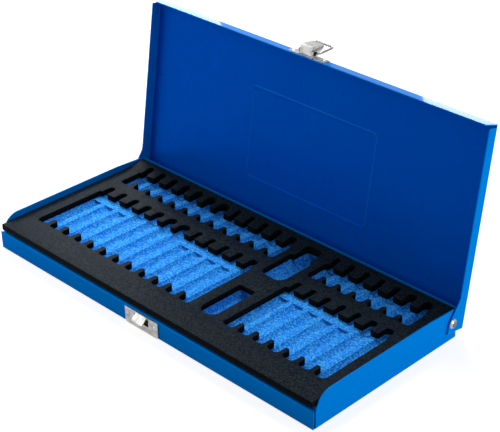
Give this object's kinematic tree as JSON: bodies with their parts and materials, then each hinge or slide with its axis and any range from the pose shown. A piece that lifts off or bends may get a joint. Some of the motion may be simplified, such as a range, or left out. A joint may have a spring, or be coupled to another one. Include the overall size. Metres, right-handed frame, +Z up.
{
  "type": "bit storage case",
  "caption": "Flat hinged case of blue painted sheet steel with a draw latch and a two-layer foam insert cut with pockets for long and short screwdriver bits and two adapters.",
  "frame": {"origin": "middle of the base's underside", "axes": "+X to the right along the hinge axis, +Y to the hinge side, +Z up; the latch side faces -Y"},
  "size_m": [0.3436, 0.1987, 0.1697],
  "materials": {
    "painted_steel": "gloss",
    "plated_steel": "polished",
    "black_foam": "matte",
    "blue_foam": "matte"
  },
  "bodies": {
    "base": {"base_tray": "painted_steel", "foam_lower": "blue_foam", "foam_upper": "black_foam", "hinge_rivet_left": "plated_steel", "hinge_rivet_right": "plated_steel", "hinge_washer_left": "plated_steel", "hinge_washer_right": "plated_steel", "keeper_plate": "plated_steel", "keeper_rivet_left": "plated_steel", "keeper_rivet_right": "plated_steel"},
    "lid": {"lid_shell": "painted_steel", "latch_plate": "plated_steel", "latch_rivet_left": "plated_steel", "latch_rivet_right": "plated_steel", "lever_pin": "plated_steel"},
    "lever": {"latch_lever": "plated_steel"},
    "bail": {"wire_bail": "plated_steel"}
  },
  "joints": [
    {"name": "lid_hinge", "type": "hinge", "parent": "base", "child": "lid", "pos_m": [0, 0.06895, 0.0148], "axis": [1, 0, 0], "range_deg": [0, 98.8]},
    {"name": "lever_hinge", "type": "hinge", "parent": "lid", "child": "lever", "pos_m": [0, 0.09817, 0.16464], "axis": [1, 0, 0], "range_deg": [0, 130]},
    {"name": "bail_hinge", "type": "hinge", "parent": "lever", "child": "bail", "pos_m": [0, 0.10133, 0.16415], "axis": [1, 0, 0], "range_deg": [0, 194.3]}
  ]
}
